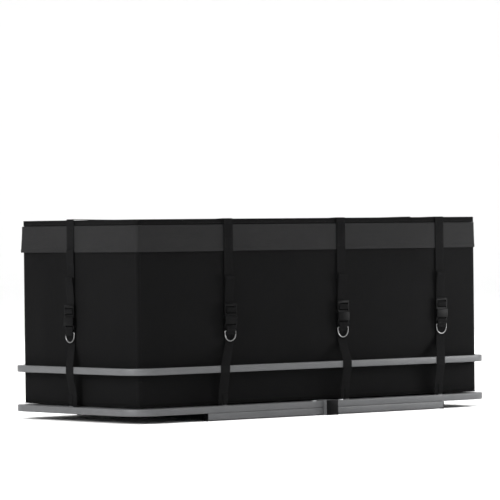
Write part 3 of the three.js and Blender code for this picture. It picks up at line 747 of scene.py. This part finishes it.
def flapSwell(side, x, y, level):
    down = step01(bandFoot - level, 0.0, bandFoot - flapFoot)
    strap = step01(strapDistance(side, x, y), *flap["calmStrap"]) if side != "corner" else 1.0
    rearCorner = max(halfX - abs(x), halfY + y)
    share = flap["cornerShare"]
    strap *= share + (1 - share) * step01(rearCorner, *flap["calmCorner"])
    along, up = flap["waveScale"]
    waver = noise.noise(Vector((x * along, y * along, level * up)))
    return strap * (flap["flare"] * down ** flap["flareCurve"] + flap["wave"] * waver * down)


def makeFlap():
    top = bandFoot - 0.0012
    hemTop = flapFoot + flap["hem"]
    depth = flap["depth"]
    hemDepth = flap["hemDepth"]
    profile = [(0.0002, bandFoot - 0.0004), (depth, top - 0.0008)]
    profile += [(depth, level) for level in spaced(top - 0.004, hemTop, flap["step"])]
    profile += [(0.0013, hemTop - 0.0008), (hemDepth, hemTop - 0.002)]
    profile += [(hemDepth, level) for level in spaced(hemTop - 0.005, flapFoot + 0.001, flap["hemStep"])]
    sheet = bandPiece("rainFlap", profile, True, flapSwell)
    addModifier(sheet, "SOLIDIFY", thickness=flap["thickness"], offset=0)
    roundCloth(sheet)
    smoothByAngle(sheet, 55)
    finishPiece(sheet, "rain_flap_fabric", "flap_fabric", "lid", ["rain_flap"])
    rows = []
    for face in ("rear", "left", "right"):
        low, high = bagFaces[face]
        first = low + stitch["fromCorner"]
        last = high - stitch["fromCorner"]
        bandRow = bandFoot + stitch["bandRow"]
        rows.append(stitchRow(face, (first, bandRow), (last, bandRow)))
        for level in (flapFoot + stitch["hemRow"], flapFoot + flap["hem"] - stitch["hemRow"]):
            hem = stitchRow(face, (first, level), (last, level), stitch["flapSkin"])
            for vertex in hem.data.vertices:
                place = vertex.co - bagMiddle
                vertex.co += outward[face] * flapSwell(face, place.x, place.y, level)
            rows.append(hem)
    joinStitches("lid_stitches", rows, "lid")


# the cloth that joins the lid to the bag along the car side
def makeClothHinge():
    reach = clothHinge["reach"]
    corner = bag["cornerRadius"]
    rows = []
    columns = spaced(bagLow.x + corner, bagHigh.x - corner, clothHinge["columnStep"])
    for level in spaced(hingeLevel - reach, hingeLevel + reach, clothHinge["rowStep"]):
        rows.append([Vector((x, bagHigh.y + clothHinge["depth"], level)) for x in columns])
    cloth = wrapGrid("clothHinge", rows)
    addModifier(cloth, "SOLIDIFY", thickness=clothHinge["thickness"], offset=0)
    smoothByAngle(cloth, 50)
    finishPiece(cloth, "lid_cloth_hinge", "bag_fabric")
    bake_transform(cloth)


makeBagBody()
makeLid()
makeClothHinge()
for name, sizes in pipings.items():
    makePiping(name, *sizes)
makeFlap()
print("bag done")


# the straps
straps = {
    "width": 0.038,
    "thickness": 0.0015,
    "columns": 5,
    "turn": 0.0032,  # radius of a bend over an edge or a bar
    "softTurn": 0.006,
    "pivotStep": 0.003,
    # depths out from the bag's face
    "onFlap": 0.0032,
    "onBack": 0.0018,
    "tail": 0.0052,
    "overBar": 0.0138,
    "tab": 0.0128,
    "onRail": 0.0433,
    "onPost": 0.0283,
    "layer": 0.002,  # an end strap's top lies this far over the cross strap
    "lift": 0.0013,  # heights over the lid
    "crossLift": 0.0033,
    "hem": 0.0132,
    # levels above the bag's underside
    "lowerSlot": 0.300,
    "upperSlot": 0.317,
    "tailBends": ((0.0, 0.345), (0.0025, 0.385), (0.0055, 0.405), (0.0045, 0.420)),
    "tabEnd": 0.228,
    "femaleSlot": 0.259,
    "leanFrom": 0.198,
    "bendReach": 0.012,  # above and below the pivot of a strap's swing
    "endPivot": 0.012,  # from the top of an end strap's hanging part down to its pivot
    "overHinge": 0.016,  # how far above the lid's hinge the car side straps reach
    "collar": (0.008, 0.038),  # above the bottom rail
    "post": (0.016, 0.021, 0.027),  # width, and depths of its two faces
    "postShift": {"rear": 0.009, "carSide": 0.009, "left": -0.014, "right": 0.014},
    # how far each buckled strap runs sideways between its ring and the guard rail
    "leans": {"rear_left": -0.051, "rear_middle": -0.012, "rear_right": -0.036,
              "left_end": 0.040, "right_end": -0.040},
}
# the tie round a post: clear of its sides and back, and round the webbing in front
tie = {"gap": 0.0014, "front": 0.0032, "turn": 0.0015, "thickness": 0.0014}


# a line through points with its corners rounded
def softLine(points, radius, steps=4):
    line = [points[0]]
    for before, here, after in zip(points, points[1:], points[2:]):
        back = before - here
        on = after - here
        reach = min(radius, back.length * 0.45, on.length * 0.45)
        start = here + back.normalized() * reach
        end = here + on.normalized() * reach
        for step in range(steps + 1):
            t = step / steps
            line.append(start * (1 - t) ** 2 + here * (2 * t * (1 - t)) + end * t * t)
    line.append(points[-1])
    return line


def webbingStrip(name, line, across, width=None, thickness=None, closed=False):
    width = width or straps["width"]
    thickness = thickness or straps["thickness"]
    if closed:
        line = line + [line[0]]
    last = straps["columns"] - 1
    offsets = [width * (column / last - 0.5) for column in range(last + 1)]
    strip = wrapGrid(name, [[point + across * offset for offset in offsets] for point in line])
    if closed:
        editAll(strip, weld)
    addModifier(strip, "SOLIDIFY", thickness=thickness, offset=0)
    roundCloth(strip)
    smoothByAngle(strip, 50)
    return strip


# the strap's free half: down the face, through the ladder lock and up again as the tail, with a folded hem
def hangingLine(face, along, start):
    level = bagLow.z
    points = list(start)
    points.append(onFace(face, along, straps["onFlap"], level + straps["lowerSlot"]))
    points.append(onFace(face, along, straps["overBar"], level + straps["lowerSlot"]))
    points.append(onFace(face, along, straps["overBar"], level + straps["upperSlot"]))
    points.append(onFace(face, along, straps["tail"], level + straps["upperSlot"]))
    for lean, height in straps["tailBends"]:
        points.append(onFace(face, along, straps["tail"] + lean, level + height))
    end = points[-1]
    fold = outward[face] * (straps["thickness"] * 1.05)
    points.append(end + fold)
    points.append(end + fold - Vector((0, 0, straps["hem"])) + outward[face] * 0.001)
    return points


# bakes the strap's placement into its mesh; the strap is neither split at its pivot nor attached to a
# moving part
def bendAtPivot(strip):
    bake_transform(strip)


def makeRearStrap(name):
    face, along = stations[name]
    side = name.split("_")[1]
    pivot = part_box(name + "_hanging_webbing")[1].z
    back = bagHigh.y + straps["onBack"]
    lift = straps["lift"]
    points = [Vector((along, back, hingeLevel + straps["overHinge"]))]
    points.append(Vector((along, back, bagHigh.z + lift)))
    for y in spaced(bagHigh.y - 0.02, bagLow.y + 0.02, 0.045):
        points.append(Vector((along, y, lidLevel(along, y) + lift)))
    points.append(onFace(face, along, straps["onFlap"], bagHigh.z + lift))
    points.append(onFace(face, along, straps["onFlap"], bandFoot))
    for level in spaced(flapFoot + 0.04, pivot - 0.03, 0.006):
        points.append(onFace(face, along, straps["onFlap"], level))
    line = softLine(hangingLine(face, along, points), straps["turn"])
    strip = webbingStrip(name + "_strap_webbing", line, acrossOf(face))
    finishPiece(strip, name + "_strap_webbing", "webbing", None,
                [f"lid_webbing_{side}", name + "_hanging_webbing"])
    bendAtPivot(strip)


def makeEndStrap(name):
    face, along = stations[name]
    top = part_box(name + "_hanging_webbing")[1].z
    pivot = top - straps["endPivot"]
    depth = straps["onFlap"] + straps["layer"]
    levels = spaced(top, pivot - straps["bendReach"], straps["pivotStep"])
    points = [onFace(face, along, depth, level) for level in levels]
    points.append(onFace(face, along, depth, pivot - 0.03))
    points.append(onFace(face, along, straps["onFlap"], pivot - 0.04))
    line = softLine(hangingLine(face, along, points), straps["turn"])
    strip = webbingStrip(name + "_strap_webbing", line, acrossOf(face))
    finishPiece(strip, name + "_strap_webbing", "webbing", None, [name + "_hanging_webbing"])
    bendAtPivot(strip)


def makeCrossStrap():
    lift = straps["crossLift"]
    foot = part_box("lid_cross_webbing")[0].z
    points = [onFace("left", endPlace, straps["onFlap"], foot)]
    points.append(onFace("left", endPlace, straps["onFlap"], bagHigh.z + lift))
    for x in spaced(bagLow.x + 0.03, bagHigh.x - 0.03, 0.06):
        points.append(Vector((x, endPlace, lidLevel(x, endPlace) + lift)))
    points.append(onFace("right", endPlace, straps["onFlap"], bagHigh.z + lift))
    points.append(onFace("right", endPlace, straps["onFlap"], foot))
    strip = webbingStrip("lid_cross_strap", softLine(points, straps["turn"]), Vector((0, 1, 0)))
    finishPiece(strip, "lid_cross_strap", "webbing", "lid", ["lid_cross_webbing"])


# the fixed half, from its start down over the guard rail and in to the post, and its tie round the post
def makeAnchor(name, station, start, node):
    face, along = {**stations, **carSide}[station]
    turned = acrossOf(face)
    lean = straps["leans"].get(station, 0.0)
    depth = (start[-1] - onFace(face, along, 0, 0)).dot(outward[face])
    lower = [
        onFace(face, along, straps["onRail"], guardTop + 0.0006),
        onFace(face, along, straps["onRail"], guardBottom - 0.002),
        onFace(face, along, straps["onPost"], guardBottom - 0.066),
        onFace(face, along, straps["onPost"], railTop + 0.003),
    ]
    points = start + [onFace(face, along, depth, bagLow.z + straps["leanFrom"])]
    points += [point + turned * lean for point in lower]
    strip = webbingStrip(name, softLine(points, straps["softTurn"]), turned)
    if face == "carSide":
        finishPiece(strip, name, "webbing", None, [node])
        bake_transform(strip)
    else:
        finishPiece(strip, name, "webbing", "carrier", [node])
    makeTie(name + "_tie", face, along, straps["postShift"][face] + lean)


# a short loop of webbing round a post and the strap in front of it
def makeTie(name, face, along, shift):
    width, inner, outer = straps["post"]
    reach = width / 2 + tie["gap"]
    back = inner - tie["gap"]
    front = outer + tie["front"]
    low, high = straps["collar"]
    level = railTop + (low + high) / 2
    corners = []
    for side, depth in ((-1, back), (1, back), (1, front), (-1, front)):
        corners.append(onFace(face, along, depth, level) + acrossOf(face) * (shift + side * reach))
    start = corners[0].lerp(corners[1], 0.5)
    end = corners[0].lerp(corners[1], 0.49)
    line = softLine([start, *corners[1:], corners[0], end], tie["turn"])
    loop = webbingStrip(name, line, Vector((0, 0, 1)), high - low, tie["thickness"], closed=True)
    finishPiece(loop, name, "webbing", "carrier")


def makeAnchors():
    level = bagLow.z
    for name, (face, along) in stations.items():
        start = [
            onFace(face, along, straps["tab"], level + straps["tabEnd"]),
            onFace(face, along, straps["tab"], level + straps["femaleSlot"]),
            onFace(face, along, straps["onFlap"], level + straps["femaleSlot"]),
        ]
        makeAnchor(name + "_anchor_strap", name, start, name + "_anchor_webbing")
    for name, (face, along) in carSide.items():
        levels = spaced(hingeLevel + straps["overHinge"], hingeLevel - 0.03, straps["pivotStep"])
        start = [onFace(face, along, straps["onBack"], level) for level in levels]
        makeAnchor(name + "_strap", name, start, name + "_webbing")


for name in rearNames:
    makeRearStrap(name)
for name in endNames:
    makeEndStrap(name)
makeCrossStrap()
makeAnchors()


# the seams beside the bag's corners and the boxes that hold the straps
def makeStrapStitches():
    half = stitch["boxHalf"]
    onLid = []
    onBag = []

    def box(face, along, level, edges, depth, crossed=True):
        skin = depth + straps["thickness"] / 2
        return stitchBox(face, along, half, level + edges[0], level + edges[1], skin, crossed)

    for name, (face, along) in stations.items():
        tabEnd = bagLow.z + straps["tabEnd"]
        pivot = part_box(name + "_hanging_webbing")[1].z
        if face == "rear":
            onLid += box(face, along, pivot, stitch["pivotBox"], straps["onFlap"])
        else:
            onLid += box(face, along, bandFoot, stitch["endBox"], straps["onFlap"])
        onBag += box(face, along, tabEnd, stitch["tabBox"], straps["tab"], False)
    for face, along in carSide.values():
        onBag += box(face, along, hingeLevel, stitch["hingeBox"], straps["onBack"])
    foot = bagLow.z + stitch["wallRow"][0]
    top = bag["shoulder"] + stitch["wallRow"][1]
    for face, (low, high) in bagFaces.items():
        for along in (low + stitch["fromCorner"], high - stitch["fromCorner"]):
            onBag.append(stitchRow(face, (along, foot), (along, top), stitch["wallSkin"]))
    joinStitches("lid_strap_stitches", onLid, "lid")
    joinStitches("bag_stitches", onBag, "carrier")


makeStrapStitches()
print("straps done")


# buckles and rings
ring = {
    "wire": 0.002,
    "halfWidth": 0.0223,
    "side": 0.012,
    "bend": 0.004,
    "bar": 0.241,
    "depth": 0.008,
    "corner": (0.001, 0.0012),
    "arcSteps": 16,
    "sides": 10,
    # degrees that each ring hangs askew
    "skews": {"rear_left": 2.0, "rear_middle": 5.0, "rear_right": 5.0, "left_end": -5.0, "right_end": 4.0},
}


# a round wire along a closed line of points
def wireLoop(name, line, radius, sides):
    rows = []
    side = None
    for index, point in enumerate(line):
        along = (line[(index + 1) % len(line)] - line[index - 1]).normalized()
        if side is None:
            side = along.orthogonal().normalized()
        side = (side - along * side.dot(along)).normalized()
        up = along.cross(side)
        row = []
        for corner in range(sides + 1):
            turn = 2 * math.pi * corner / sides
            row.append(point + side * (radius * math.cos(turn)) + up * (radius * math.sin(turn)))
        rows.append(row)
    rows.append([point.copy() for point in rows[0]])
    wire = wrapGrid(name, rows, closed=True)
    editAll(wire, faceOut)
    smoothByAngle(wire, 60)
    return wire


def makeRing(name):
    face, along = stations[name]
    level = bagLow.z + ring["bar"]
    half = ring["halfWidth"]
    bend = ring["bend"]
    inX, inZ = ring["corner"]
    outline = [(0.0, 0.0), (half - bend, 0.0), (half - inX, -inZ), (half, -bend), (half, -ring["side"])]
    for step in range(1, ring["arcSteps"]):
        turn = math.pi * step / ring["arcSteps"]
        outline.append((half * math.cos(turn), -ring["side"] - half * math.sin(turn)))
    outline += [(-half, -ring["side"]), (-half, -bend), (-half + inX, -inZ), (-half + bend, 0.0)]
    skew = math.radians(ring["skews"][name])
    line = []
    for x, z in outline:
        turnedX = x * math.cos(skew) - z * math.sin(skew)
        turnedZ = x * math.sin(skew) + z * math.cos(skew)
        line.append(onFace(face, along, ring["depth"], level + turnedZ) + acrossOf(face) * turnedX)
    wire = wireLoop(name + "_ring", line, ring["wire"], ring["sides"])
    finishPiece(wire, name + "_d_ring_wire", "ring_steel", name + "_d_ring", [name + "_d_ring"])


buckleEdges = {"male": 0.0009, "female": 0.0011}
for name in stations:
    for half, width in buckleEdges.items():
        roundedCopy(f"{name}_{half}_buckle", width, 3)
    makeRing(name)
print("buckles done")


# the tray
tray = {
    "seam": middleOf("shank").x,
    "cornerRadius": 0.09,
    "edge": 0.0022,
    "seamGap": {"guard": 0.00015, "bottom": 0.0253},
    "edgeSteps": 3,
    "bendSteps": 14,
    "bead": 0.0024,  # reach of the weld round a post
    "beadEdge": 0.00216,
    "postEdge": 0.0009,
    "ribEdge": 0.0005,
    "floorEdge": 0.0006,
    "overlap": 0.001,  # how far ribs and posts run into the rails
    # flat bars on edge under the floor
    "ribs": {"first": 0.0393, "columns": 7, "at": (1, 4, 6), "thickness": 0.004, "height": 0.018,
             "bar": 0.014, "drop": 0.0033, "endCorner": 0.0677, "inset": 0.0223},
}


# one half of a square-tube loop, from the seam on the rear side round the end and back to the seam
def halfRail(name, low, side, gap):
    boxLow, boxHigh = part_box(f"{side}_guard_rail")
    sign = -1 if side == "left" else 1
    reachX = abs(boxLow.x if side == "left" else boxHigh.x)
    rearY = boxLow.y
    frontY = boxHigh.y
    half = railSize / 2
    startX = tray["seam"] + sign * gap
    cornerX = sign * (reachX - tray["cornerRadius"])
    bpy.ops.object.select_all(action="DESELECT")
    place = (startX, rearY + half, low + half)
    bpy.ops.mesh.primitive_plane_add(size=railSize, location=place, rotation=(0, math.pi / 2, 0))
    rail = bpy.context.object
    rail.name = name
    bpy.ops.object.transform_apply(location=True, rotation=True, scale=True)
    bpy.ops.object.mode_set(mode="EDIT")
    bpy.ops.mesh.select_all(action="SELECT")
    bpy.ops.mesh.bevel(offset=tray["edge"], segments=tray["edgeSteps"], affect="VERTICES")
    bpy.ops.mesh.select_all(action="SELECT")
    bpy.ops.mesh.extrude_region_move(TRANSFORM_OT_translate={"value": (cornerX - startX, 0, 0)})
    turn = {"steps": tray["bendSteps"], "angle": -math.pi / 2 * sign, "axis": (0, 0, 1)}
    bpy.ops.mesh.spin(center=(cornerX, rearY + tray["cornerRadius"], low), **turn)
    straight = frontY - rearY - 2 * tray["cornerRadius"]
    bpy.ops.mesh.extrude_region_move(TRANSFORM_OT_translate={"value": (0, straight, 0)})
    bpy.ops.mesh.spin(center=(cornerX, frontY - tray["cornerRadius"], low), **turn)
    bpy.ops.mesh.extrude_region_move(TRANSFORM_OT_translate={"value": (startX - cornerX, 0, 0)})
    bpy.ops.mesh.select_all(action="SELECT")
    bpy.ops.mesh.remove_doubles(threshold=mergeWithin)
    bpy.ops.mesh.delete_loose()
    bpy.ops.mesh.normals_make_consistent(inside=False)
    bpy.ops.object.mode_set(mode="OBJECT")
    smoothByAngle(rail, 40)
    return rail


# a block with softened edges, from its lowest to its highest corner
def makeBlock(low, high, soft):
    bpy.ops.object.select_all(action="DESELECT")
    bpy.ops.mesh.primitive_cube_add(size=1, location=(low + high) / 2)
    block = bpy.context.object
    block.scale = high - low
    bpy.ops.object.transform_apply(location=True, rotation=True, scale=True)
    addModifier(block, "BEVEL", width=soft, segments=2)
    smoothByAngle(block, 40)
    return block


# the upright between the two rails behind a strap, with its welds
def makePost(station, face, along):
    width, inner, outer = straps["post"]
    shift = straps["postShift"][face] + straps["leans"].get(station, 0.0)
    centre = onFace(face, along, (inner + outer) / 2, (railTop + guardBottom) / 2) + acrossOf(face) * shift
    flat = (width, outer - inner) if face in ("rear", "carSide") else (outer - inner, width)
    reach = Vector((flat[0], flat[1], guardBottom - railTop + tray["overlap"])) / 2
    pieces = [makeBlock(centre - reach, centre + reach, tray["postEdge"])]
    bead = tray["bead"]
    for level in (railTop, guardBottom):
        grown = Vector((reach.x + bead, reach.y + bead, bead))
        middle = Vector((centre.x, centre.y, level))
        pieces.append(makeBlock(middle - grown, middle + grown, tray["beadEdge"]))
    return pieces


def makeRibs(side):
    sizes = tray["ribs"]
    sign = -1 if side == "left" else 1
    # the left half mirrors the right one, with its own distance from the middle to the seam
    tubeLow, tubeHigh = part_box("right_guard_rail")
    start = sign * tray["seam"] + sizes["first"]
    end = tubeHigh.x - sizes["inset"] - sizes["endCorner"] / 2
    pitch = (end - start) / sizes["columns"]
    top = railTop - sizes["drop"]
    reachY = (tubeHigh.y - tubeLow.y) / 2 - railSize + tray["overlap"]
    ribs = []
    for index in sizes["at"]:
        x = sign * (start + index * pitch - sizes["bar"] / 2)
        reach = Vector((sizes["thickness"] / 2, reachY, sizes["height"] / 2))
        middle = Vector((x, bagMiddle.y, top - sizes["height"] / 2))
        ribs.append(makeBlock(middle - reach, middle + reach, tray["ribEdge"]))
    return ribs


def makeTray():
    for side in ("left", "right"):
        guard = halfRail("guard", guardBottom, side, tray["seamGap"]["guard"])
        posts = []
        for station, (face, along) in {**stations, **carSide}.items():
            place = onFace(face, along, 0, 0)
            if (place.x < tray["seam"]) == (side == "left"):
                posts += makePost(station, face, along)
        joinPieces(guard, posts)
        finishPiece(guard, f"{side}_guard_rail_tube", "painted_steel", "carrier", [f"{side}_guard_rail"])
        bottom = halfRail("bottom", railTop - railSize, side, tray["seamGap"]["bottom"])
        joinPieces(bottom, makeRibs(side))
        finishPiece(bottom, f"{side}_bottom_rail_tube", "painted_steel", "carrier", [f"{side}_bottom_rail"])
        roundedCopy(f"{side}_floor", tray["floorEdge"], 1)


makeTray()
# how far each machined or moulded piece's edges are rounded
edges = {
    "shank": 0.0022,
    "shank_end_cap": 0.0016,
    "rear_crossbar": 0.0014,
    "front_crossbar": 0.0014,
    "rear_crossbar_cap_left": 0.001,
    "rear_crossbar_cap_right": 0.001,
    "front_crossbar_cap_left": 0.001,
    "front_crossbar_cap_right": 0.001,
    "rear_left_rail_bolt": 0.0005,
    "rear_right_rail_bolt": 0.0005,
    "front_left_rail_bolt": 0.0005,
    "front_right_rail_bolt": 0.0005,
    "hitch_pin": 0.0012,
    "rear_splice": 0.0008,
    "front_splice": 0.0008,
    "zipper_slider": 0.0005,
}
for node, width in edges.items():
    roundedCopy(node, width)
roundedCopy("pin_clip", 0.0001, 1, 60)
print("tray done")


# the zipper
zipper = {
    "tape": 0.0012,
    "pitch": 0.0032,
    "tooth": (0.0016, 0.0024, 0.0022),  # along the tape, out from it and up
    "toothEdge": 0.0003,
    "corner": 0.012,  # plain tape at each corner
}


def makeZipper():
    for node, body in (("body_zipper", "carrier"), ("lid_zipper", "lid")):
        low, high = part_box(node)
        depth = bagLow.y - low.y - zipper["tape"]
        profile = [(depth, low.z), (depth, high.z)]
        tape = bandPiece(node, profile, True)
        addModifier(tape, "SOLIDIFY", thickness=zipper["tape"], offset=0)
        long, deep, tall = zipper["tooth"]
        reach = Vector((long, tall, deep)) / 2
        level = high.z - tall / 2 if body == "carrier" else low.z + tall / 2
        # the two halves' teeth fall between each other
        offset = zipper["corner"] + (0 if body == "carrier" else zipper["pitch"] / 2)
        rows = []
        for face in ("rear", "left", "right"):
            start, end = bagFaces[face]
            tooth = makeBlock(-reach, reach, zipper["toothEdge"])
            first = onFace(face, start + offset, depth, level)
            last = onFace(face, end - zipper["corner"], depth, level)
            rows.append(rowOf(tooth, first, last, outward[face], zipper["pitch"]))
        joinPieces(tape, rows)
        finishPiece(tape, node + "_tape", "zipper", body, [node])


makeZipper()
print("zipper done")
